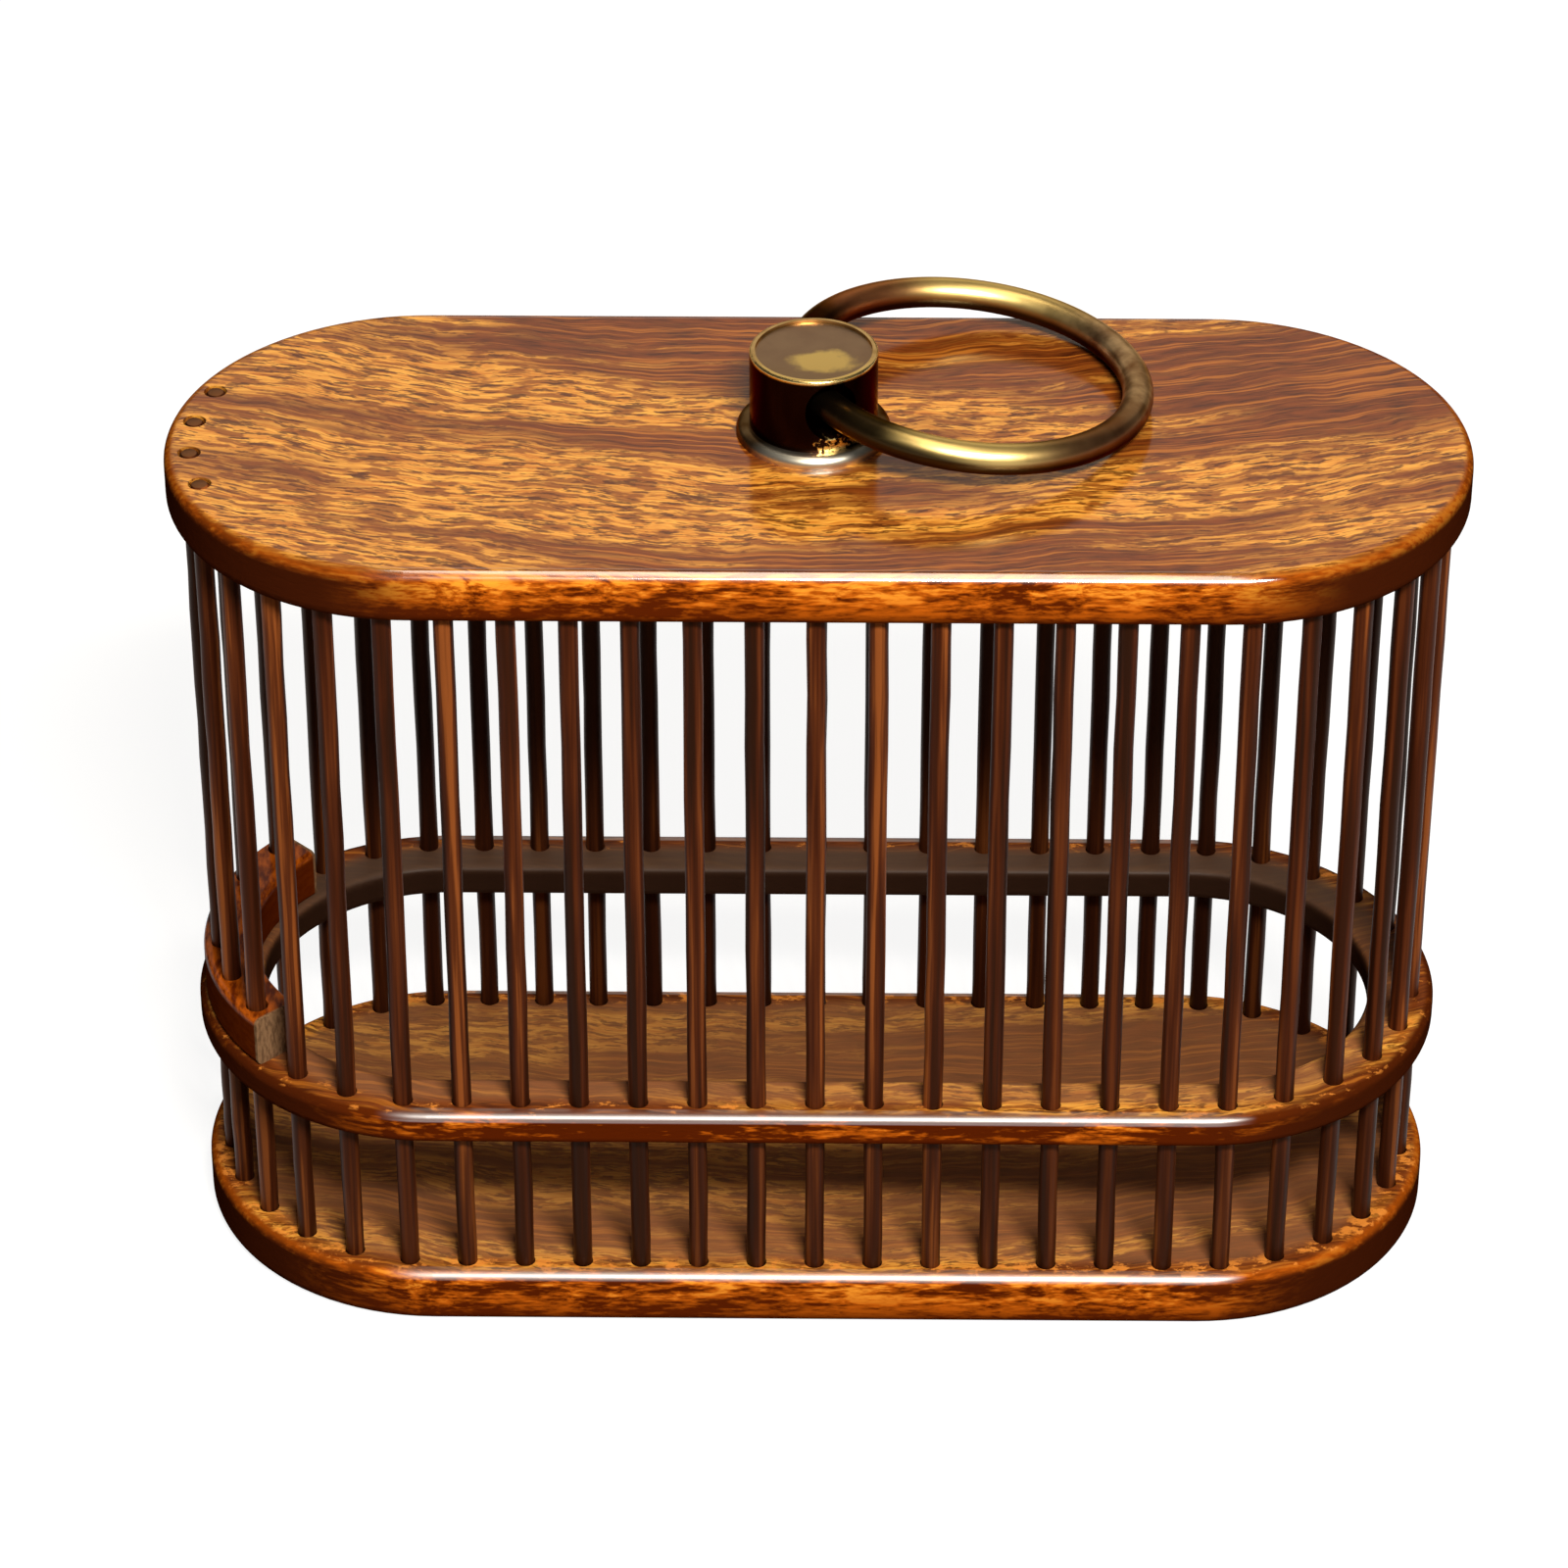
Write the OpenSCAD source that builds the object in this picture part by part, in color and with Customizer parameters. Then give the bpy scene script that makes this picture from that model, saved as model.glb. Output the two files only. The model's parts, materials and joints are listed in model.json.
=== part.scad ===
// Cricket cage: three stadium-shaped wooden boards joined by a row of round bars,
// with a small lift-up door on the left end and a brass ring pull on top.
// Millimetres, +Z up, origin in the middle of the underside, door at -X, front at -Y.

/* [Cage] */
// Length over the boards
cage_l = 162; // [140:1:190]
// Width over the boards
cage_w = 63; // [56:1:76]
// Clear height between the bottom plate and the middle rail
lower_bay_h = 21.4; // [14:0.2:34]
// Clear height between the middle rail and the top plate
upper_bay_h = 74.4; // [56:0.2:100]

/* [Boards] */
// Thickness of the bottom plate
bottom_t = 7.8; // [6.4:0.2:11]
// Thickness of the top plate
top_t = 7.2; // [5.6:0.2:9]
// Rounding on the edges of the top and bottom plates
plate_round = 1.6; // [0.6:0.1:1.8]
// Thickness of the middle rail
rail_t = 4.6; // [3.6:0.2:6]
// Width of the wood of the middle rail
rail_w = 8.5; // [7.6:0.1:11]
// Rounding on the edges of the middle rail
rail_round = 1.2; // [0.4:0.1:1.5]

/* [Bars] */
// Number of bars round the cage
bar_count = 50; // [42:2:56]
// Diameter of a bar
bar_d = 2.5; // [2:0.1:3]
// Outer edge of the boards to the centres of the bars
bar_inset = 3.2; // [3:0.1:3.8]
// Depth of the blind sockets in the top and bottom plates
plate_socket = 4; // [2.4:0.2:4.6]
// Depth of the blind sockets under the middle rail, below the door
rail_socket = 2.4; // [1.4:0.2:2.8]
// Gap all round a glued bar in its socket
glue_gap = 0.05; // [0.02:0.01:0.1]

/* [Door] */
// Number of bars on the door
door_bars = 4; // [2:2:6]
// Height of the door's foot block
block_h = 7; // [5.5:0.5:10]
// Wood of the foot block outside its bar holes
block_wall_out = 0.85; // [0.6:0.05:1]
// Wood of the foot block inside its bar holes
block_wall_in = 2.8; // [1.6:0.1:3.2]
// Wood of the foot block past the centre of each guide bar
block_end = 2.8; // [2.2:0.1:4]
// Rounding on the edges of the foot block
block_round = 0.8; // [0.3:0.1:0.8]
// Depth of the door bars' sockets in the foot block
block_socket = 5; // [3:0.5:5]
// Gap all round a sliding bar in its hole
slide_gap = 0.2; // [0.1:0.05:0.3]
// Chamfer on the upper tips of the door bars
tip_chamfer = 0.35; // [0.1:0.05:0.6]

/* [Ring pull] */
// Centre of the ring pull behind the middle of the top plate
pull_back = 2.4; // [0:0.2:5]
// Centre of the ring pull to the left of the middle of the top plate
pull_left = 0.6; // [0:0.2:5]
// Diameter of the brass post
post_d = 15.9; // [13:0.1:19]
// Metal of the post under its eye
post_floor = 2.6; // [2.2:0.1:5]
// Metal of the post over its eye, at the rim
post_crown = 1.5; // [1.2:0.1:4]
// Depth of the dish in the top of the post
dish_depth = 0.8; // [0.4:0.1:1.8]
// Width of the rim round the dish
dish_rim = 0.7; // [0.5:0.1:1.6]
// Upright step from the rim down to the edge of the dish
dish_step = 0.4; // [0.1:0.05:0.4]
// Rounding on the outer edge of the rim
rim_round = 0.3; // [0.1:0.1:0.4]
// Chamfer round the mouths of the eye
eye_chamfer = 0.4; // [0.2:0.1:0.6]
// Diameter of the washer under the post
washer_d = 19.2; // [17:0.1:24]
// Thickness of the washer
washer_t = 1.5; // [1:0.1:2.4]
// Rounding on the upper edge of the washer
washer_round = 1.2; // [0.3:0.1:1.4]
// Outer diameter of the ring
ring_outer_d = 46.2; // [38:0.2:56]
// Diameter of the ring's rod
ring_rod_d = 3.9; // [3:0.1:5]
// Gap between the ring and its eye at the tightest place
eye_gap = 0.25; // [0.15:0.05:0.5]
// Gap left under the ring where it comes to rest
rest_gap = 0.3; // [0.2:0.05:0.5]
// Turn of the ring pull about the vertical, in degrees
ring_turn = 17; // [-40:1:40]

/* [Fixing rivet] */
// Diameter of the rivet's shank
rivet_d = 3; // [2.5:0.1:4]
// Diameter of the rivet's countersunk head
rivet_head_d = 6; // [5:0.1:7.5]
// Depth of the parallel edge of the head
rivet_head_edge = 0.4; // [0.2:0.1:0.6]
// Length of the shank in the post
rivet_grip = 1.9; // [1.2:0.1:2]
// Clearance round the rivet in the wood and the washer
rivet_gap = 0.1; // [0.05:0.05:0.3]

/* [Hidden] */
$fn = 96;
bar_facets = 32;
// cuts run past a face by this much
past = 1;
plate_wood = [0.48, 0.22, 0.08];
bar_wood = [0.28, 0.11, 0.05];
brass = [0.55, 0.43, 0.18];

// levels above the underside of the bottom plate
floor_z = bottom_t;
rail_z = floor_z + lower_bay_h;
sill_z = rail_z + rail_t;
ceiling_z = sill_z + upper_bay_h;
top_z = ceiling_z + top_t;

// stadium outline: two half rounds joined by straight sides
end_r = cage_w / 2;
half_straight = cage_l / 2 - end_r;
bar_row_r = end_r - bar_inset;
arc_quarter = bar_row_r * PI / 2;
bar_pitch = 4 * (half_straight + arc_quarter) / bar_count;
bars_a_side = bar_count / 2;
// no rounding reaches the holes of the bars
flat_past_hole = 0.05;
edge_to_socket = bar_inset - bar_d / 2 - glue_gap - flat_past_hole;
plate_edge_r = min(plate_round, edge_to_socket);
rail_edge_r = min(rail_round, edge_to_socket);
block_edge_r = min(block_round, block_wall_out - flat_past_hole);
door_bars_a_side = door_bars / 2;

// the door's foot block follows the left end from guide bar to guide bar
bar_hole_r = bar_d / 2 + slide_gap;
guide_distance = (door_bars_a_side + 0.5) * bar_pitch;
block_half_angle = (guide_distance + block_end) / bar_row_r * 180 / PI;
block_inner_r = bar_row_r - bar_hole_r - block_wall_in;
block_w = block_wall_in + 2 * bar_hole_r + block_wall_out;

// the eye is wide enough for the bend of the ring inside the post
ring_r = (ring_outer_d - ring_rod_d) / 2;
ring_sag = ring_r - sqrt(ring_r * ring_r - post_d * post_d / 4);
eye_d = ring_rod_d + ring_sag + 2 * eye_gap;
post_h = post_floor + eye_d + post_crown;
post_z = top_z + washer_t;
eye_z = post_z + post_floor + eye_d / 2;
ring_reach = ring_r - ring_sag / 2;
ring_drop = eye_z - top_z - ring_rod_d / 2 - rest_gap;
ring_tilt = asin(ring_drop / (ring_reach + ring_r));

// the dish is a cap of a large ball below an upright step, and leaves some metal over the eye
least_crown = 0.7;
dish_floor_z = post_z + post_h - min(dish_depth, post_crown - least_crown);
dish_edge_z = max(post_z + post_h - dish_step, dish_floor_z + 0.05);
dish_cap_h = dish_edge_z - dish_floor_z;
dish_r = post_d / 2 - dish_rim;
dish_ball_r = (dish_r * dish_r + dish_cap_h * dish_cap_h) / (2 * dish_cap_h);
washer_edge_r = min(washer_round, washer_t - 0.2);
rivet_cone_h = (rivet_head_d - rivet_d) / 2;

function numbered(stem, n) = str(stem, n < 10 ? "_0" : "_", n);
function door_bar_name(n) = str("door_bar_", n);

FIXED_BARS = [for (n = [1 : bars_a_side - door_bars_a_side]) n];
DOOR_BARS = [for (n = [1 : door_bars]) n];

// Place on the row of bars at a distance s from the middle of the door,
// along the front where s is positive and along the back where it is negative.
function row_point(s) =
    let (a = abs(s), side = s > 0 ? -1 : 1, run = a - arc_quarter)
    run <= 0 ? left_end_point(a, side)
    : run <= 2 * half_straight ? [run - half_straight, side * bar_row_r]
    : right_end_point(run - 2 * half_straight, side);

function left_end_point(a, side) =
    let (t = a / bar_row_r * 180 / PI)
    [-half_straight - bar_row_r * cos(t), side * bar_row_r * sin(t)];

function right_end_point(a, side) =
    let (t = a / bar_row_r * 180 / PI)
    [half_straight + bar_row_r * sin(t), side * bar_row_r * cos(t)];

// The n-th bar from the middle of the door, n from 1, on one side of the cage.
function bar_point(n, side) = row_point(side * (n - 0.5) * bar_pitch);

function fixed_bar_point(n, side) = bar_point(n + door_bars_a_side, side);

// The door bars are counted from the front one to the back one.
function door_bar_point(n) = row_point((door_bars_a_side + 0.5 - n) * bar_pitch);

// Rounded rectangle standing on the x axis, its left side at x = 0.
module rounded_section(w, h, r) {
    translate([0, r]) square([w, h - 2 * r]);
    translate([r, 0]) square([w - 2 * r, h]);
    for (x = [r, w - r], y = [r, h - r])
        translate([x, y]) circle(r);
}

// Half of a rounded section that is mirrored about the y axis.
module half_section(half_w, h, r) {
    square([half_w - r, h]);
    translate([0, r]) square([half_w, h - 2 * r]);
    for (y = [r, h - r])
        translate([half_w - r, y]) circle(r);
}

// Turns its 2D child through a half round at each end of the stadium.
module at_both_ends() {
    for (end = [-1, 1])
        translate([end * half_straight, 0, 0])
            rotate([0, 0, -90 * end])
                rotate_extrude(angle = 180) children();
}

// Runs its 2D child along the front and back of the stadium.
module along_both_sides() {
    for (turn = [0, 180])
        rotate([90, 0, 90 + turn])
            linear_extrude(2 * half_straight, center = true) children();
}

module stadium_board(t, r) {
    at_both_ends() half_section(end_r, t, r);
    along_both_sides() half_section(end_r, t, r);
}

module stadium_ring(t, w, r) {
    at_both_ends() translate([end_r - w, 0]) rounded_section(w, t, r);
    along_both_sides() translate([end_r - w, 0]) rounded_section(w, t, r);
}

module upright(point, z0, z1, d) {
    translate([point.x, point.y, z0]) cylinder(h = z1 - z0, d = d, $fn = bar_facets);
}

module fixed_bar_holes(z0, z1) {
    for (n = FIXED_BARS, side = [-1, 1])
        upright(fixed_bar_point(n, side), z0, z1, bar_d + 2 * glue_gap);
}

module door_place_holes(z0, z1, gap) {
    for (n = DOOR_BARS)
        upright(door_bar_point(n), z0, z1, bar_d + 2 * gap);
}

module bottom_plate() {
    color(plate_wood) difference() {
        stadium_board(bottom_t, plate_edge_r);
        fixed_bar_holes(floor_z - plate_socket, floor_z + past);
        door_place_holes(floor_z - plate_socket, floor_z + past, glue_gap);
    }
}

module middle_rail() {
    color(plate_wood) difference() {
        translate([0, 0, rail_z]) stadium_ring(rail_t, rail_w, rail_edge_r);
        fixed_bar_holes(rail_z - past, sill_z + past);
        door_place_holes(rail_z - past, rail_z + rail_socket, glue_gap);
    }
}

module top_plate() {
    color(plate_wood) difference() {
        translate([0, 0, ceiling_z]) stadium_board(top_t, plate_edge_r);
        fixed_bar_holes(ceiling_z - past, ceiling_z + plate_socket);
        door_place_holes(ceiling_z - past, top_z + past, slide_gap);
        at_pull() rivet_hole();
    }
}

// Moves its children to the centre of the ring pull.
module at_pull() {
    translate([-pull_left, pull_back, 0]) children();
}

// Countersunk hole for the rivet that holds the ring pull.
module rivet_hole() {
    translate([0, 0, ceiling_z - past])
        cylinder(h = top_t + 2 * past, d = rivet_d + 2 * rivet_gap);
    translate([0, 0, ceiling_z - past])
        cylinder(h = past + rivet_head_edge, d = rivet_head_d + 2 * rivet_gap);
    translate([0, 0, ceiling_z + rivet_head_edge])
        cylinder(h = rivet_cone_h, d1 = rivet_head_d + 2 * rivet_gap, d2 = rivet_d + 2 * rivet_gap);
}

module fixed_bar(n, side) {
    color(bar_wood)
        upright(fixed_bar_point(n, side), floor_z - plate_socket, ceiling_z + plate_socket, bar_d);
}

// Short bars that close the lower bay under the door.
module short_bars() {
    color(bar_wood) for (n = DOOR_BARS)
        upright(door_bar_point(n), floor_z - plate_socket, rail_z + rail_socket, bar_d);
}

module door_block() {
    guide_n = door_bars_a_side + 1;
    color(plate_wood) difference() {
        translate([-half_straight, 0, sill_z])
            rotate([0, 0, 180 - block_half_angle])
                rotate_extrude(angle = 2 * block_half_angle)
                    translate([block_inner_r, 0]) rounded_section(block_w, block_h, block_edge_r);
        door_place_holes(sill_z + block_h - block_socket, sill_z + block_h + past, glue_gap);
        for (side = [-1, 1])
            upright(bar_point(guide_n, side), sill_z - past, sill_z + block_h + past, 2 * bar_hole_r);
    }
}

module door_bar(n) {
    foot_z = sill_z + block_h - block_socket;
    point = door_bar_point(n);
    color(bar_wood) {
        upright(point, foot_z, top_z - tip_chamfer, bar_d);
        translate([point.x, point.y, top_z - tip_chamfer])
            cylinder(h = tip_chamfer, d1 = bar_d, d2 = bar_d - 2 * tip_chamfer, $fn = bar_facets);
    }
}

// Half section of a turned disc or post with its upper outer edge rounded.
module turned_section(r, h, edge) {
    square([r - edge, h]);
    square([r, h - edge]);
    translate([r - edge, h - edge]) intersection() {
        circle(edge);
        square(edge);
    }
}

module pull_washer() {
    color(brass) at_pull() translate([0, 0, top_z]) difference() {
        rotate_extrude() turned_section(washer_d / 2, washer_t, washer_edge_r);
        translate([0, 0, -past]) cylinder(h = washer_t + 2 * past, d = rivet_d + 2 * rivet_gap);
    }
}

// Turned post with a dished top and a cross hole, the eye, for the ring.
module pull_post() {
    color(brass) at_pull() difference() {
        translate([0, 0, post_z]) rotate_extrude() turned_section(post_d / 2, post_h, rim_round);
        dish();
        translate([0, 0, eye_z]) rotate([0, 0, ring_turn]) eye();
        translate([0, 0, post_z - past]) cylinder(h = past + rivet_grip + rivet_gap, d = rivet_d);
    }
}

// Hollow of the dish, from its floor up past the rim.
module dish() {
    intersection() {
        translate([0, 0, dish_floor_z + dish_ball_r]) sphere(dish_ball_r);
        translate([0, 0, post_z]) cylinder(h = 2 * post_h, r = dish_r);
    }
}

module eye() {
    mouth = sqrt(post_d * post_d - eye_d * eye_d) / 2;
    for (side = [0, 180]) rotate([90, 0, side]) {
        cylinder(h = post_d, d = eye_d);
        translate([0, 0, mouth - eye_chamfer])
            cylinder(h = 2 * eye_chamfer + ring_sag, d1 = eye_d, d2 = eye_d + 4 * eye_chamfer + 2 * ring_sag);
    }
}

module pull_ring() {
    color(brass) at_pull() translate([0, 0, eye_z]) rotate([0, ring_tilt, ring_turn])
        translate([ring_reach, 0, 0])
            rotate_extrude() translate([ring_r, 0]) circle(d = ring_rod_d, $fn = bar_facets);
}

module pull_rivet() {
    color(brass) at_pull() translate([0, 0, ceiling_z]) {
        cylinder(h = rivet_head_edge, d = rivet_head_d);
        translate([0, 0, rivet_head_edge])
            cylinder(h = rivet_cone_h, d1 = rivet_head_d, d2 = rivet_d);
        cylinder(h = top_t + washer_t + rivet_grip, d = rivet_d);
    }
}

bottom_plate();
middle_rail();
top_plate();
short_bars();
door_block();
pull_washer();
pull_post();
pull_ring();
pull_rivet();
for (n = DOOR_BARS)
    door_bar(n);
for (n = FIXED_BARS) {
    fixed_bar(n, 1);
    fixed_bar(n, -1);
}
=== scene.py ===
import json
import random
from math import asin, cos, pi, radians

import bmesh
import bpy
from mathutils import Matrix, Vector


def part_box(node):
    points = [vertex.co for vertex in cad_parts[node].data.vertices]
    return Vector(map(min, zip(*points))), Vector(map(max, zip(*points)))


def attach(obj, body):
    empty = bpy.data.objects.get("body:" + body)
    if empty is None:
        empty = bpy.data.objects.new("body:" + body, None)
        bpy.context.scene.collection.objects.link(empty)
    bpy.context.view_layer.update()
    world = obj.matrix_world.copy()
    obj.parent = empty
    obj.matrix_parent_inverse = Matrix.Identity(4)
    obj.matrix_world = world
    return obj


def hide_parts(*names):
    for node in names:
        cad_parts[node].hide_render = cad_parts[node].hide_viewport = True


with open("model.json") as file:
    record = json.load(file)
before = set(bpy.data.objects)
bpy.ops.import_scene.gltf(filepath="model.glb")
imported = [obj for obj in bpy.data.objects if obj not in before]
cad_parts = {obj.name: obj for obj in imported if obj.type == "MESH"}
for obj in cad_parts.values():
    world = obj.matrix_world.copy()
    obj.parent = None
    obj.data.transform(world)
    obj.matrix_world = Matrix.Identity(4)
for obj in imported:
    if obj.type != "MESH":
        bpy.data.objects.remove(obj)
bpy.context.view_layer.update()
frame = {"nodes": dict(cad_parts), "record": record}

MM = 0.001


# Sizes of the cage, in millimetres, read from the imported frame.

def span_mm(node):
    low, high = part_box(node)
    return Vector(low) / MM, Vector(high) / MM


top_low, top_high = span_mm("top_plate")
rail_low, rail_high = span_mm("middle_rail")
post_low, post_high = span_mm("pull_post")
ring_low, ring_high = span_mm("pull_ring")
block_low, block_high = span_mm("door_block")
bar_low, _ = span_mm("front_bar_12")

end_radius = (top_high.y - top_low.y) / 2
half_straight = top_high.x - end_radius
bar_reach = -bar_low.y
rail_level = (rail_low.z + rail_high.z) / 2
post_radius = (post_high.x - post_low.x) / 2
post_middle = (post_low + post_high) / 2
ring_middle = (ring_low + ring_high) / 2
block_outer_radius = -half_straight - block_low.x
block_half_angle = asin(block_high.y / block_outer_radius)

ring_joint = next(joint for joint in frame["record"]["behaviour"]["joints"] if joint["child"] == "ring")
ring_pivot = Vector(ring_joint["pos_m"]) / MM


# Shader maths. A Shade is one value in a finish, and arithmetic on it adds nodes.

class Shade:
    def __init__(self, finish, socket):
        self.finish = finish
        self.socket = socket

    def maths(self, operation, *terms):
        values = dict(enumerate(terms))
        return self.finish.node("ShaderNodeMath", {"operation": operation}, values)

    def __add__(self, other):
        return self.maths("ADD", self, other)

    def __radd__(self, other):
        return self.maths("ADD", other, self)

    def __sub__(self, other):
        return self.maths("SUBTRACT", self, other)

    def __rsub__(self, other):
        return self.maths("SUBTRACT", other, self)

    def __mul__(self, other):
        return self.maths("MULTIPLY", self, other)

    def __rmul__(self, other):
        return self.maths("MULTIPLY", other, self)

    def __pow__(self, other):
        return self.maths("POWER", self, other)

    def __abs__(self):
        return self.maths("ABSOLUTE", self)

    def at_least(self, other):
        return self.maths("MAXIMUM", self, other)

    def angle_from(self, other):
        return self.maths("ARCTAN2", self, other)

    def cosine(self):
        return self.maths("COSINE", self)

    def rise(self, start, end):
        """0 before start, 1 after end, smooth between them."""
        settings = {"interpolation_type": "SMOOTHSTEP"}
        return self.finish.node("ShaderNodeMapRange", settings, {0: self, 1: start, 2: end})


class Finish:
    """A procedural material on a piece's own Object coordinates, in millimetres."""

    def __init__(self, name):
        self.material = bpy.data.materials.new(name)
        self.material.use_nodes = True
        self.tree = self.material.node_tree
        self.tree.nodes.clear()
        spot = self.node("ShaderNodeTexCoord", output="Object")
        place = self.node("ShaderNodeVectorMath", {"operation": "SCALE"}, {0: spot, "Scale": 1 / MM})
        self.x = self.node("ShaderNodeSeparateXYZ", values={0: place}, output="X")
        self.y = self.node("ShaderNodeSeparateXYZ", values={0: place}, output="Y")
        self.z = self.node("ShaderNodeSeparateXYZ", values={0: place}, output="Z")

    def node(self, kind, settings=None, values=None, output=0):
        made = self.tree.nodes.new(kind)
        for name, setting in (settings or {}).items():
            if name == "stops":
                self.set_stops(made.color_ramp, setting)
            else:
                setattr(made, name, setting)
        for name, value in (values or {}).items():
            if isinstance(value, Shade):
                self.tree.links.new(value.socket, made.inputs[name])
            else:
                made.inputs[name].default_value = value
        if made.outputs:
            return Shade(self, made.outputs[output])

    @staticmethod
    def set_stops(ramp, stops):
        while len(ramp.elements) < len(stops):
            ramp.elements.new(1)
        for element, (position, colour) in zip(ramp.elements, stops):
            element.position = position
            element.color = (*colour, 1)

    def noise(self, x, y, z, detail=3, roughness=0.55):
        spot = self.node("ShaderNodeCombineXYZ", values={0: x, 1: y, 2: z})
        values = {"Vector": spot, "Scale": 1, "Detail": detail, "Roughness": roughness}
        return self.node("ShaderNodeTexNoise", values=values)

    def ramp(self, factor, *stops):
        return self.node("ShaderNodeValToRGB", {"stops": stops}, {0: factor})

    def mix(self, under, over, amount):
        """Lays one colour over another. A Mix node's colours are its inputs 6 and 7 and its output 2."""
        under, over = (tone if isinstance(tone, Shade) else (*tone, 1) for tone in (under, over))
        return self.node("ShaderNodeMix", {"data_type": "RGBA"}, {0: amount, 6: under, 7: over}, output=2)

    def bump(self, height, depth_mm):
        values = {"Height": height, "Strength": 1, "Distance": depth_mm * MM}
        return self.node("ShaderNodeBump", values=values)

    def surface(self, **values):
        """Ends the finish in one Principled shader. Socket names are written with underscores."""
        named = {name.replace("_", " "): value for name, value in values.items()}
        for name, value in named.items():
            if isinstance(value, tuple):
                named[name] = (*value, 1)
        shader = self.node("ShaderNodeBsdfPrincipled", values=named)
        self.node("ShaderNodeOutputMaterial", values={"Surface": shader})
        return self.material


# Finishes of the wood.

DARK_FLECK = (0.060, 0.012, 0.003)
RED_WOOD = (0.200, 0.044, 0.006)
AMBER_WOOD = (0.560, 0.175, 0.018)
GOLD_WOOD = (0.880, 0.410, 0.060)
EDGE_AMBER = (0.540, 0.110, 0.005)
EDGE_GOLD = (0.960, 0.340, 0.030)
EDGE_DARK = (0.095, 0.013, 0.001)
END_SHADE_DARK = (0.050, 0.009, 0.002)
INNER_SHADE = (0.026, 0.011, 0.006)
BACK_SHADE_WOOD = (0.085, 0.050, 0.033)
DUSTY_WOOD = (0.300, 0.135, 0.060)
BARE_CHIP = (0.800, 0.270, 0.040)
END_GRAIN = (0.260, 0.145, 0.072)
SAWN_DARK = (0.140, 0.075, 0.038)
BAR_BLACK = (0.018, 0.005, 0.002)
BAR_BROWN = (0.048, 0.010, 0.003)
BAR_RUST = (0.098, 0.023, 0.006)
BAR_AMBER = (0.250, 0.068, 0.015)
BAR_TIP = (0.115, 0.046, 0.018)
WARM_GLOSS = (1.000, 0.420, 0.180)
GRAIN_BOW = 0.0018
GRAIN_SWAY_MM = 12
GRAIN_RIPPLE_MM = 2.4
RAIL_WOOD_MM = 8.5
LACQUER_IOR = 3.2
BAR_TONE_SLICE = 3.7
NO_CHIPS = 1
SOLID_BOARD = -1


def past_straight(wood):
    """How far a point lies into one of the round ends."""
    return (abs(wood.x) - half_straight).at_least(0)


def stadium_radius(wood):
    """Distance from the middle line of the boards, which ends at the middle of each round end."""
    into_end = past_straight(wood)
    return (into_end * into_end + wood.y * wood.y) ** 0.5


class BoardFigure:
    """The figure of one board: noises drawn out along its grain, which bows, sways and ripples."""

    def __init__(self, wood, seed):
        sway = wood.noise(wood.x * 0.02, wood.y * 0.02, wood.z * 0.02 + seed, detail=2) * GRAIN_SWAY_MM
        ripple = wood.noise(wood.x * 0.12, wood.y * 0.12, wood.z * 0.12 + seed, detail=2) * GRAIN_RIPPLE_MM
        self.wood = wood
        self.across = wood.y - wood.x * wood.x * GRAIN_BOW + sway + ripple
        self.depth = wood.z + seed
        self.bands = self.grain(along=0.010, across=0.12)
        self.flecks = self.grain(along=0.20, across=0.90)
        self.lines = self.grain(along=0.035, across=1.6, detail=4)
        self.fibres = self.grain(along=0.30, across=3.2, detail=2)
        self.dashes = self.grain(along=0.32, across=1.9)
        self.dark = self.flecks.rise(0.47, 0.57)

    def grain(self, along, across, detail=3):
        x, y, z = self.wood.x * along, self.across * across, self.depth * across
        return self.wood.noise(x, y, z, detail, roughness=0.6)


def face_tone(wood, figure, gold_level):
    """Bands of gold with dark flecks and dashes, between bands of lined red-brown."""
    # Painted shade: the gold bands thin out towards the back and the right of each board.
    shade_to_back_right = (wood.x * 0.004 + wood.y * 0.018).rise(-0.2, 0.8)
    gold = (figure.bands - shade_to_back_right * 0.10).rise(gold_level - 0.08, gold_level + 0.08)
    golden = wood.ramp(figure.lines * 0.5 + figure.fibres * 0.5, (0.38, AMBER_WOOD), (0.60, GOLD_WOOD))
    golden = wood.mix(golden, RED_WOOD, figure.dark * 0.80)
    golden = wood.mix(golden, DARK_FLECK, figure.dashes.rise(0.53, 0.59) * 0.8)
    brown = wood.ramp(figure.flecks * 0.5 + figure.fibres * 0.5, (0.34, DARK_FLECK), (0.60, RED_WOOD))
    brown = wood.mix(brown, AMBER_WOOD, figure.lines.rise(0.50, 0.64) * 0.6)
    return wood.mix(brown, golden, gold)


def side_tone(wood, figure, gold_level, low, high, lit_rim):
    """Patches of gold along the straight sides, fading to painted shade towards the bottom, and painted
    shade round the ends under an upper rim painted as lit.
    """
    patches = wood.noise(wood.x * 0.035, wood.y * 0.1, figure.depth * 0.2, detail=2)
    mottle = figure.dashes * 0.3 + figure.flecks * 0.3 + patches * 0.4
    # The gold patches are the wood's figure; their fading towards the bottom of each side is painted shade.
    gold_patches_and_shade = mottle.rise(gold_level - 0.07, gold_level + 0.11) * wood.z.rise(low.z - 1, high.z - 1.5)
    # The painted shade starts sooner at the left of the top plate and at the right of the base.
    lean = wood.x * (0.03 - wood.z * 0.0006)
    end_shade = (abs(wood.x) - half_straight + lean + wood.z * 0.05).rise(-3, 19)
    # Painted light: the upper rim round the ends keeps the lit amber instead of the painted shade, by a
    # share set for each board.
    lit_upper_rim = wood.z.rise(high.z - 1.8, high.z - 0.4) * lit_rim
    tone = wood.ramp(gold_patches_and_shade, (0.05, EDGE_DARK), (0.55, EDGE_AMBER), (1.0, EDGE_GOLD))
    tone = wood.mix(tone, EDGE_AMBER, end_shade * lit_upper_rim)
    # Painted shade on the sides round the ends.
    return wood.mix(tone, END_SHADE_DARK, end_shade * (1 - lit_upper_rim))


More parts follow.
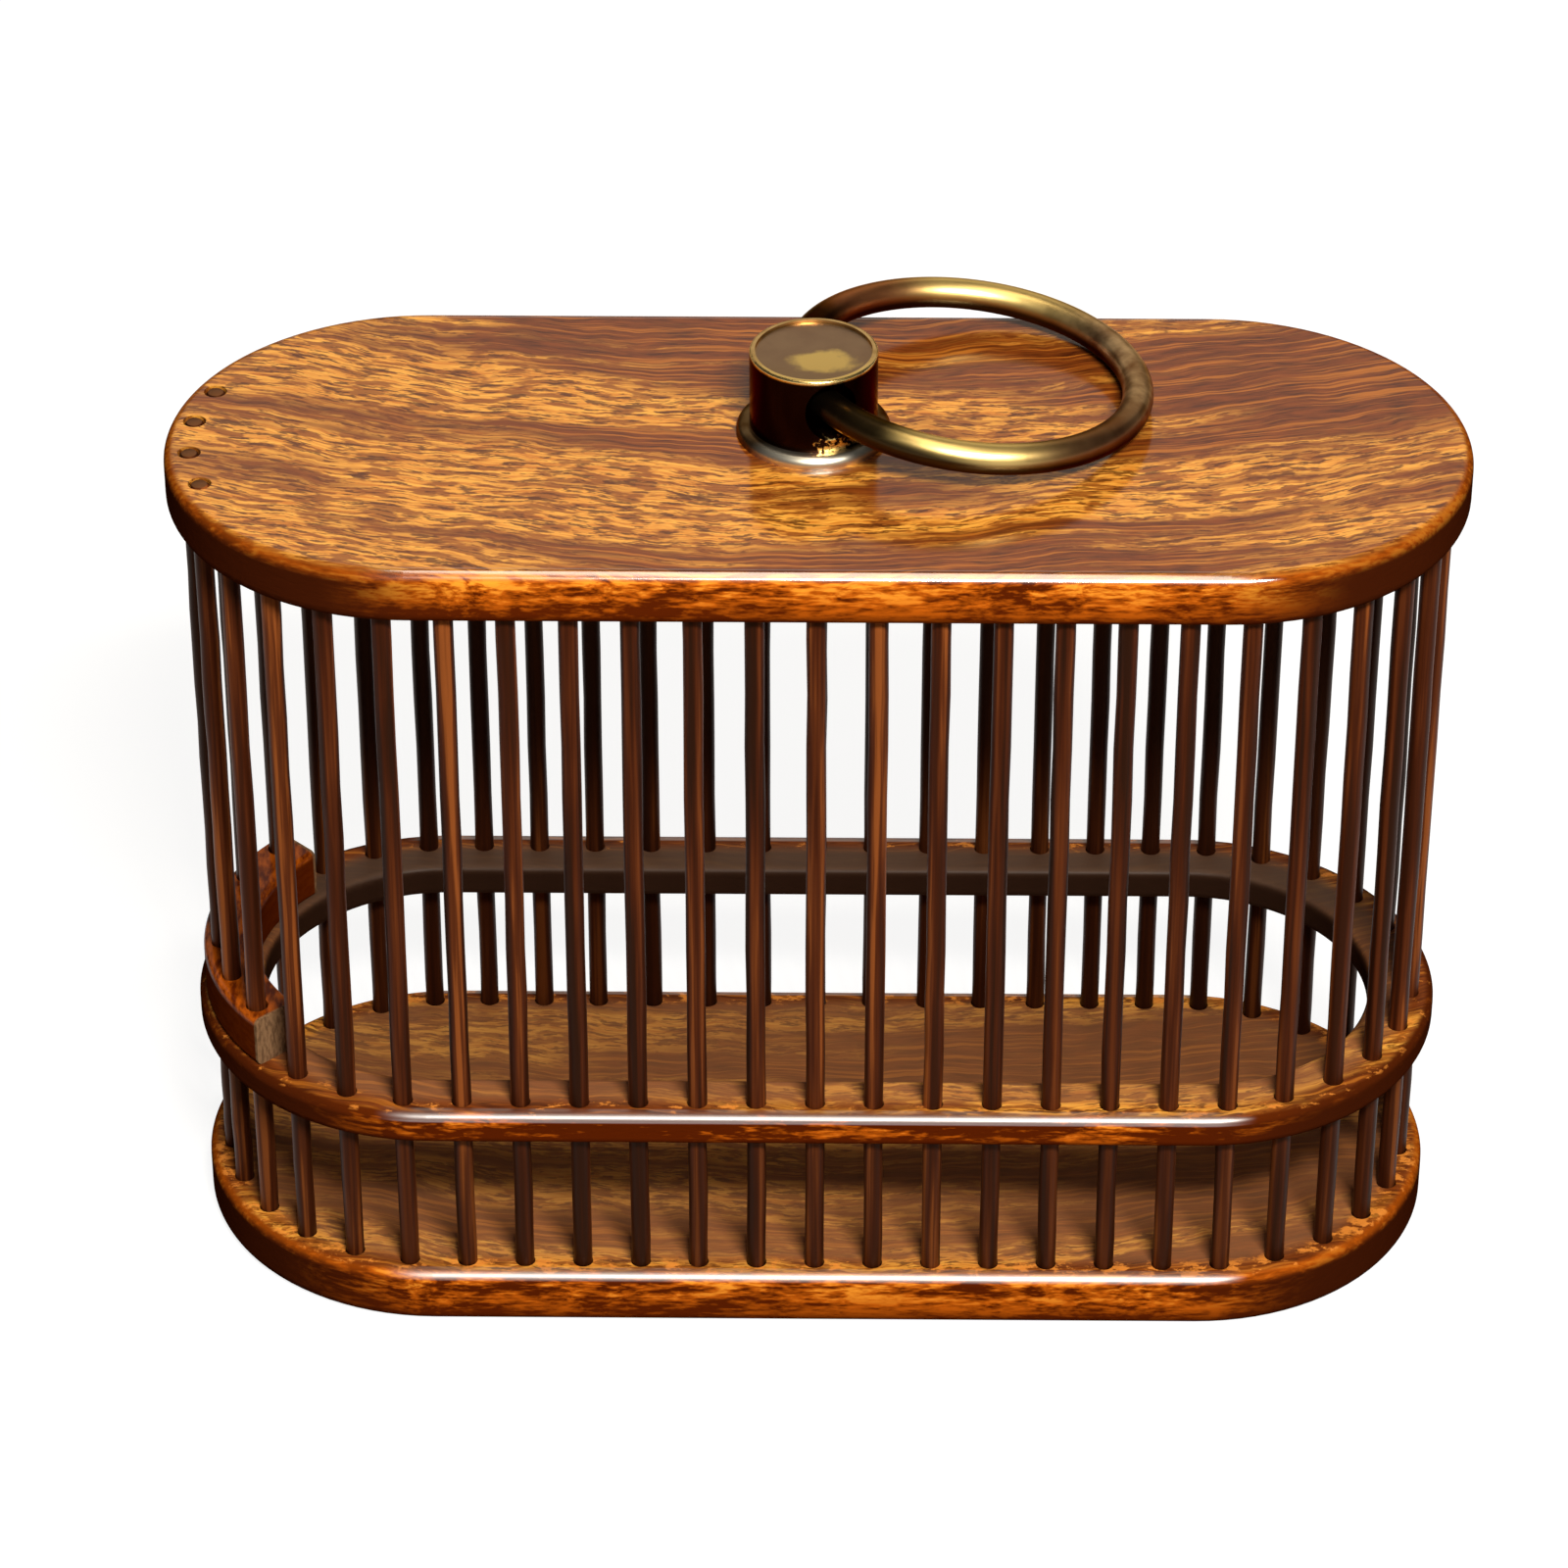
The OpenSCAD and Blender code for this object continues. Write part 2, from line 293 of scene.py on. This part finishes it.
def lacquered_board(node, seed, gold_level, gloss, haze, chip_level, lit_rim, dust=0, back_shade=0,
                    inner_radius=SOLID_BOARD):
    """Lacquered rosewood, dusty within the bars, with painted shade at the back within the bars and on the
    inner faces, and chipped by the feet of the bars.

    The higher gold_level and chip_level are, the less of the board is gold or chipped.
    """
    wood = Finish("rosewood_" + node)
    figure = BoardFigure(wood, seed)
    low, high = span_mm(node)
    out = stadium_radius(wood)

    within_bars = 1 - out.rise(bar_reach - 3, bar_reach)
    tone = face_tone(wood, figure, gold_level)
    tone = wood.mix(tone, DUSTY_WOOD, within_bars * dust)
    # Painted shade on the back part within the bars.
    tone = wood.mix(tone, BACK_SHADE_WOOD, within_bars * wood.y.rise(0, 20) * back_shade)

    side = out.rise(end_radius - 1.4, end_radius - 0.5)
    tone = wood.mix(tone, side_tone(wood, figure, gold_level, low, high, lit_rim), side)

    # Painted shade on the inner faces round the board's hole.
    shaded_inner_face = 1 - out.rise(inner_radius, inner_radius + 0.6)
    tone = wood.mix(tone, INNER_SHADE, shaded_inner_face * 0.96)

    by_feet = 1 - abs(out - bar_reach).rise(0.6, 2.6)
    flakes = wood.noise(wood.x * 0.3, wood.y * 0.5, figure.depth, detail=5, roughness=0.7)
    flaked = flakes.rise(chip_level, chip_level + 0.08)
    chips = by_feet * flaked * wood.z.rise(high.z - 0.5, high.z - 0.2)
    tone = wood.mix(tone, BARE_CHIP, chips * 0.8)

    on_rim = out.rise(end_radius - 1.9, end_radius - 1.5) * wood.z.rise(high.z - 1.1, high.z - 0.8)
    pooled = on_rim * (1 - past_straight(wood).rise(1, 7))
    return wood.surface(
        Base_Color=tone,
        Roughness=0.34 + figure.dark * 0.14 + chips * 0.2,
        Specular_IOR_Level=0,
        Coat_Weight=(gloss * (1 - side) * (1 - shaded_inner_face)).at_least(pooled),
        Coat_Roughness=haze,
        Coat_IOR=LACQUER_IOR,
        Normal=wood.bump(figure.fibres * 0.5 - figure.dark, depth_mm=0.015),
    )


def dark_bar_wood(name):
    """Satin dark hardwood, each bar in its own tone, with painted shade that blackens the back row, most
    above the rail, and darkens the bars below the rail.
    """
    wood = Finish(name)
    own_tone = wood.noise(wood.x * 0.21, wood.y * 0.21, BAR_TONE_SLICE, detail=1).rise(0.36, 0.64)
    streaks = wood.noise(wood.x * 0.9, wood.y * 0.9, wood.z * 0.02, detail=3, roughness=0.5)
    scrapes = wood.noise(wood.x * 0.9, wood.y * 0.9, wood.z * 0.16, detail=3, roughness=0.6)
    figure = streaks.rise(0.30, 0.70) * 0.75 + own_tone * 0.25
    stops = (0.15, BAR_BLACK), (0.48, BAR_BROWN), (0.74, BAR_RUST), (0.92, BAR_AMBER)
    tone = wood.ramp(figure, *stops)

    above_rail = wood.z - rail_level
    shaded_back_row = wood.y.rise(-6, 16)
    tip = wood.z.rise(top_high.z - 0.12, top_high.z - 0.02)
    # Painted shade: the back row goes black, most of all above the rail.
    tone = wood.mix(tone, BAR_BLACK, shaded_back_row * (0.5 + above_rail.rise(-1.5, 28.5) * 0.4))
    # Painted shade on the bars below the rail.
    tone = wood.mix(tone, BAR_BLACK, (1 - above_rail.rise(-7.5, 2.5)) * 0.4)
    tone = wood.mix(tone, BAR_TIP, tip)
    return wood.surface(
        Base_Color=tone,
        Roughness=0.36 + scrapes * 0.16,
        Specular_IOR_Level=0.10,
        Specular_Tint=WARM_GLOSS,
        Normal=wood.bump(scrapes * 0.7 + streaks * 0.3, depth_mm=0.06),
    )


def door_block_wood(name):
    """The boards' wood, with painted shade that keeps it dark round the block and painted light that makes
    it amber on its top, and bare at its two sawn ends.
    """
    wood = Finish(name)
    fibres = wood.noise(wood.x * 0.9, wood.y * 0.3, wood.z * 1.1, detail=4, roughness=0.6)
    # Painted light: the fibres turn amber only near the top of the block, and below it the wood stays dark
    # as painted shade.
    lit_top = wood.z.rise(block_high.z - 1.2, block_high.z - 0.2)
    lacquer = wood.mix(EDGE_DARK, EDGE_AMBER, fibres.rise(0.34, 0.66) * (0.06 + lit_top * 0.76))
    turn = abs(wood.y).angle_from(0 - (wood.x + half_straight))
    sawn = turn.rise(block_half_angle - 0.022, block_half_angle - 0.010)
    ends = wood.noise(wood.x * 2.2, wood.y * 2.2, wood.z * 0.7, detail=3)
    end_tone = wood.mix(SAWN_DARK, END_GRAIN, ends.rise(0.35, 0.6))
    return wood.surface(
        Base_Color=wood.mix(lacquer, end_tone, sawn),
        Roughness=0.34 + sawn * 0.4,
        Specular_IOR_Level=0,
        Coat_Weight=(lit_top * 0.4 - sawn).at_least(0),
        Coat_Roughness=0.2,
        Normal=wood.bump(fibres, depth_mm=0.05),
    )


# Finishes of the brass.

BRIGHT_GOLD = (0.990, 0.710, 0.250)
DULL_BRASS = (0.820, 0.560, 0.290)
BROWN_PATINA = (0.225, 0.100, 0.044)
RED_PATINA = (0.420, 0.130, 0.050)
BLACK_PATINA = (0.013, 0.005, 0.003)
GREY_PATINA = (0.360, 0.240, 0.170)
PALE_HIGHLIGHT = (0.980, 0.910, 0.740)
WARM_EDGE = (0.600, 0.420, 0.280)


def old_brass(name):
    """Starts a brass finish, with its mottling and the brown patina that lies on all of it."""
    brass = Finish(name)
    mottle = brass.noise(brass.x * 0.30, brass.y * 0.30, brass.z * 0.30, detail=3)
    return brass, mottle, brass.mix(BROWN_PATINA, DULL_BRASS, mottle.rise(0.20, 0.76))


def brass_surface(brass, mottle, tone, roughness):
    return brass.surface(
        Base_Color=tone,
        Metallic=1.0,
        Roughness=roughness,
        Specular_Tint=WARM_EDGE,
        Normal=brass.bump(mottle, depth_mm=0.02),
    )


def post_distance(brass):
    right = brass.x - post_middle.x
    back = brass.y - post_middle.y
    return (right * right + back * back) ** 0.5


def below_ring_plane(brass):
    """How far a point lies below the middle of the rod of the ring, which slopes down from the post."""
    reach = ring_middle - ring_pivot
    outward = reach.xy.normalized()
    slope = reach.z / reach.xy.length
    along = (brass.x - ring_pivot.x) * outward.x + (brass.y - ring_pivot.y) * outward.y
    return ring_pivot.z + along * slope - brass.z


def ring_brass(name):
    """Gold at the front and back, red beyond the post, black by the post, and black underneath as painted
    shade.
    """
    brass, mottle, tone = old_brass(name)
    turn = (brass.y - ring_middle.y).angle_from(brass.x - ring_middle.x)

    def near(degrees, reach):
        """1 at an angle round the ring, fading to 0 at reach degrees from it."""
        return (turn - radians(degrees)).cosine().rise(cos(radians(reach)), 1)

    gold_arcs = near(92, 60) + near(264, 60)
    tone = brass.mix(tone, BRIGHT_GOLD, gold_arcs * (0.70 + mottle * 0.8))
    tone = brass.mix(tone, RED_PATINA, near(132, 34) * 0.9)
    tone = brass.mix(tone, BROWN_PATINA, near(316, 36) * 0.9)
    by_post = 1 - post_distance(brass).rise(post_radius + 7, post_radius + 13)
    # Painted shade: black below the middle line of the rod, joined with a black arc round the ring at 230
    # degrees.
    shade_below_and_dark_arc = (below_ring_plane(brass) + near(230, 50) * 0.9).rise(-0.9, 0.5)
    tone = brass.mix(tone, BLACK_PATINA, by_post.at_least(shade_below_and_dark_arc) * 0.96)
    return brass_surface(brass, mottle, tone, roughness=0.30 + mottle * 0.14)


def washer_brass(name):
    """Nearly black, with a painted highlight at the front."""
    brass, mottle, tone = old_brass(name)
    front_highlight = (post_middle.y - brass.y).rise(5, 8) * 0.9
    tone = brass.mix(tone, BLACK_PATINA, 0.75)
    # Painted highlight on the front of the washer.
    tone = brass.mix(tone, PALE_HIGHLIGHT, front_highlight)
    return brass_surface(brass, mottle, tone, roughness=0.34)


def post_brass(name):
    """Black at the side and in the eye, flaked low at the right, grey in the dish with a painted gold
    reflection in it, and gold towards its front.
    """
    brass, mottle, tone = old_brass(name)
    right = brass.x - post_middle.x
    back = brass.y - post_middle.y
    rim = brass.z.rise(post_high.z - 0.6, post_high.z - 0.3)
    within_rim = 1 - post_distance(brass).rise(post_radius - 1.0, post_radius - 0.6)
    dish = within_rim * brass.z.rise(post_high.z - 1.2, post_high.z - 1)
    flaked = (1 - brass.z.rise(post_low.z, post_low.z + 5)) * right.rise(-3, 2)
    specks = brass.noise(brass.x * 1.1, brass.y * 1.1, brass.z * 1.1, detail=4, roughness=0.7)
    black = (1 - rim.at_least(dish)) * specks.rise(0.18 + flaked * 0.28, 0.26 + flaked * 0.28)
    # Painted reflection: a gold patch in the dish, right of the middle and towards the front.
    from_dish_reflection = ((right - 1.2) ** 2 * 0.5 + (back + 1.8) ** 2) ** 0.5 + mottle * 4
    dish_reflection = dish * (1 - from_dish_reflection.rise(3.8, 5.2))
    tone = brass.mix(tone, BRIGHT_GOLD, 0.3 + (0 - back).rise(0, 7) * 0.6)
    tone = brass.mix(tone, BLACK_PATINA, black)
    tone = brass.mix(tone, GREY_PATINA, dish * 0.85)
    tone = brass.mix(tone, BRIGHT_GOLD, dish_reflection)
    return brass_surface(brass, mottle, tone, roughness=0.24 + dish * 0.20 - dish_reflection * 0.06)


def rivet_brass(name):
    brass, mottle, tone = old_brass(name)
    return brass_surface(brass, mottle, tone, roughness=0.30 + mottle * 0.1)


def dress(node, material):
    slots = frame["nodes"][node].data.materials
    slots.clear()
    slots.append(material)


dress("top_plate", lacquered_board(
    "top_plate", seed=37.0, gold_level=0.48, gloss=0.27, haze=0.14, chip_level=NO_CHIPS, lit_rim=0.45,
))
dress("middle_rail", lacquered_board(
    "middle_rail", seed=47.0, gold_level=0.56, gloss=0.05, haze=0.40, chip_level=0.58, lit_rim=0.15,
    dust=0.5, back_shade=0.9, inner_radius=end_radius - RAIL_WOOD_MM,
))
dress("bottom_plate", lacquered_board(
    "bottom_plate", seed=83.0, gold_level=0.50, gloss=0.03, haze=0.40, chip_level=0.52, lit_rim=0.65,
    dust=0.5,
))
dress("door_block", door_block_wood("rosewood_block"))
dress("pull_post", post_brass("brass_post"))
dress("pull_ring", ring_brass("brass_ring"))
dress("pull_washer", washer_brass("brass_washer"))
dress("pull_rivet", rivet_brass("brass_rivet"))


# Bars, each shaved by hand and so a little uneven along its length.

TIP_MM = 0.35
BAR_SIDES = 20
BAR_RINGS = 14
BAR_THINNING = 0.05
BAR_DRIFT_MM = 0.06
SHORT_BAR_SEED = 100


def add_shaved_bar(mesh, centre, foot, tip, radius, luck):
    """Draws a bar up from its foot, ring by ring, in millimetres, and closes its tip."""
    ring = bmesh.ops.create_circle(mesh, cap_ends=True, segments=BAR_SIDES, radius=radius - TIP_MM)["verts"]
    bmesh.ops.translate(mesh, verts=ring, vec=(*centre, foot))
    shaft = tip - foot - 2 * TIP_MM
    levels = [foot + TIP_MM + shaft * step / BAR_RINGS for step in range(BAR_RINGS + 1)]
    sizes = [radius * (1 - BAR_THINNING * luck.random()) for _ in levels]
    for level, size in zip(levels + [tip], sizes + [radius - TIP_MM]):
        cap = next(face for face in ring[0].link_faces if all(corner in ring for corner in face.verts))
        grown = bmesh.ops.extrude_face_region(mesh, geom=[cap])["geom"]
        mesh.faces.remove(cap)
        ring = [part for part in grown if isinstance(part, bmesh.types.BMVert)]
        middle = sum((corner.co for corner in ring), Vector()) / len(ring)
        growth = size / (ring[0].co - middle).length
        target = Vector((
            centre[0] + BAR_DRIFT_MM * luck.uniform(-1, 1),
            centre[1] + BAR_DRIFT_MM * luck.uniform(-1, 1),
            level,
        ))
        about_middle = Matrix.Translation(-middle)
        bmesh.ops.scale(mesh, verts=ring, vec=(growth, growth, 1), space=about_middle)
        bmesh.ops.translate(mesh, verts=ring, vec=target - middle)


def finish_piece(name, mesh, body, material, *nodes):
    """Turns a bmesh in millimetres into a smooth piece that rides on a body and stands for CAD nodes."""
    bmesh.ops.scale(mesh, verts=mesh.verts, vec=(MM, MM, MM))
    bmesh.ops.recalc_face_normals(mesh, faces=mesh.faces)
    data = bpy.data.meshes.new(name)
    mesh.to_mesh(data)
    mesh.free()
    data.shade_smooth()
    piece = bpy.data.objects.new(name, data)
    bpy.context.scene.collection.objects.link(piece)
    data.materials.append(material)
    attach(piece, body)
    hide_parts(*nodes)
    return piece


def bar_place(node):
    low, high = span_mm(node)
    middle = (low + high) / 2
    return (middle.x, middle.y), low.z, high.z, (high.x - low.x) / 2


bar_wood = dark_bar_wood("dark_bar_wood")
bodies = frame["record"]["behaviour"]["bodies"]
door_bars = [node for node in bodies["door"] if "_bar_" in node]
fixed_bars = [node for node in bodies["cage"] if "_bar_" in node]
for seed, node in enumerate(fixed_bars + door_bars):
    bar = bmesh.new()
    add_shaved_bar(bar, *bar_place(node), random.Random(seed))
    piece = finish_piece("shaved_" + node, bar, "door" if node in door_bars else "cage", bar_wood, node)

short_low, short_high = span_mm("short_bars")
shorts = bmesh.new()
for seed, node in enumerate(door_bars, start=SHORT_BAR_SEED):
    centre, _, _, radius = bar_place(node)
    add_shaved_bar(shorts, centre, short_low.z, short_high.z, radius, random.Random(seed))
finish_piece("shaved_short_bars", shorts, "cage", bar_wood, "short_bars")


# Floor, light and camera, in metres.

CAGE_MIDDLE = Vector((0, 0, 0.06))
FLOOR_SIZE = 8.0
PAPER_GREY = (0.28, 0.28, 0.28, 1)
WHITE = (1, 1, 1, 1)
PAPER_GLOW = 0.86


def pale_floor():
    """Grey paper that takes the object's shadow, and glows white where it is seen or mirrored."""
    grid = bmesh.new()
    bmesh.ops.create_grid(grid, x_segments=1, y_segments=1, size=FLOOR_SIZE)
    data = bpy.data.meshes.new("floor")
    grid.to_mesh(data)
    grid.free()
    floor = bpy.data.objects.new("floor", data)
    bpy.context.scene.collection.objects.link(floor)
    paper = Finish("pale_paper")

    def ray(kind):
        return paper.node("ShaderNodeLightPath", output=kind)

    matt = paper.node("ShaderNodeBsdfDiffuse", values={"Color": PAPER_GREY})
    glow = paper.node("ShaderNodeEmission", values={"Color": WHITE, "Strength": PAPER_GLOW})
    seen = ray("Is Camera Ray").at_least(ray("Is Glossy Ray")).at_least(ray("Is Transmission Ray"))
    gold_patches_and_shade = paper.node("ShaderNodeAddShader", values={0: matt, 1: glow})
    shown = paper.node("ShaderNodeMixShader", values={0: seen, 1: matt, 2: gold_patches_and_shade})
    paper.node("ShaderNodeOutputMaterial", values={"Surface": shown})
    data.materials.append(paper.material)


def soft_lamp(name, place, width, depth, power, tint):
    """A rectangular lamp that faces the middle of the cage."""
    lamp = bpy.data.lights.new(name, "AREA")
    lamp.shape = "RECTANGLE"
    lamp.size = width
    lamp.size_y = depth
    lamp.energy = power
    lamp.color = tint
    hung = bpy.data.objects.new(name, lamp)
    hung.location = place
    hung.rotation_euler = (CAGE_MIDDLE - Vector(place)).to_track_quat("-Z", "Y").to_euler()
    bpy.context.scene.collection.objects.link(hung)


def studio_world(strength):
    world = bpy.data.worlds.new("studio")
    world.use_nodes = True
    backdrop = world.node_tree.nodes["Background"]
    backdrop.inputs["Color"].default_value = WHITE
    backdrop.inputs["Strength"].default_value = strength
    bpy.context.scene.world = world


def photo_camera():
    """The photograph's view, found from the outlines of its three boards."""
    sensor_mm = 36
    focal_pixels = 6038
    frame_pixels = 1600
    standpoint = (0.0020, -0.6268, 0.4955)
    downward = radians(34.56)
    leftward = radians(0.57)
    lens = bpy.data.cameras.new("photo_camera")
    lens.sensor_width = sensor_mm
    lens.lens = sensor_mm * focal_pixels / frame_pixels
    camera = bpy.data.objects.new("photo_camera", lens)
    camera.location = standpoint
    camera.rotation_euler = (pi / 2 - downward, 0, leftward)
    bpy.context.scene.collection.objects.link(camera)
    bpy.context.scene.camera = camera


pale_floor()
soft_lamp("key", (0.16, -0.60, 0.74), width=0.30, depth=0.10, power=10.4, tint=(1.0, 0.95, 0.87))
soft_lamp("overhead", (0.04, -0.22, 0.76), width=0.20, depth=1.10, power=1.9, tint=(1.0, 0.90, 0.74))
soft_lamp("back_panel", (0.0, 0.86, 0.64), width=2.0, depth=0.5, power=1.9, tint=(1.0, 0.91, 0.78))
studio_world(strength=0.05)
photo_camera()
bpy.context.scene.view_settings.view_transform = "Standard"
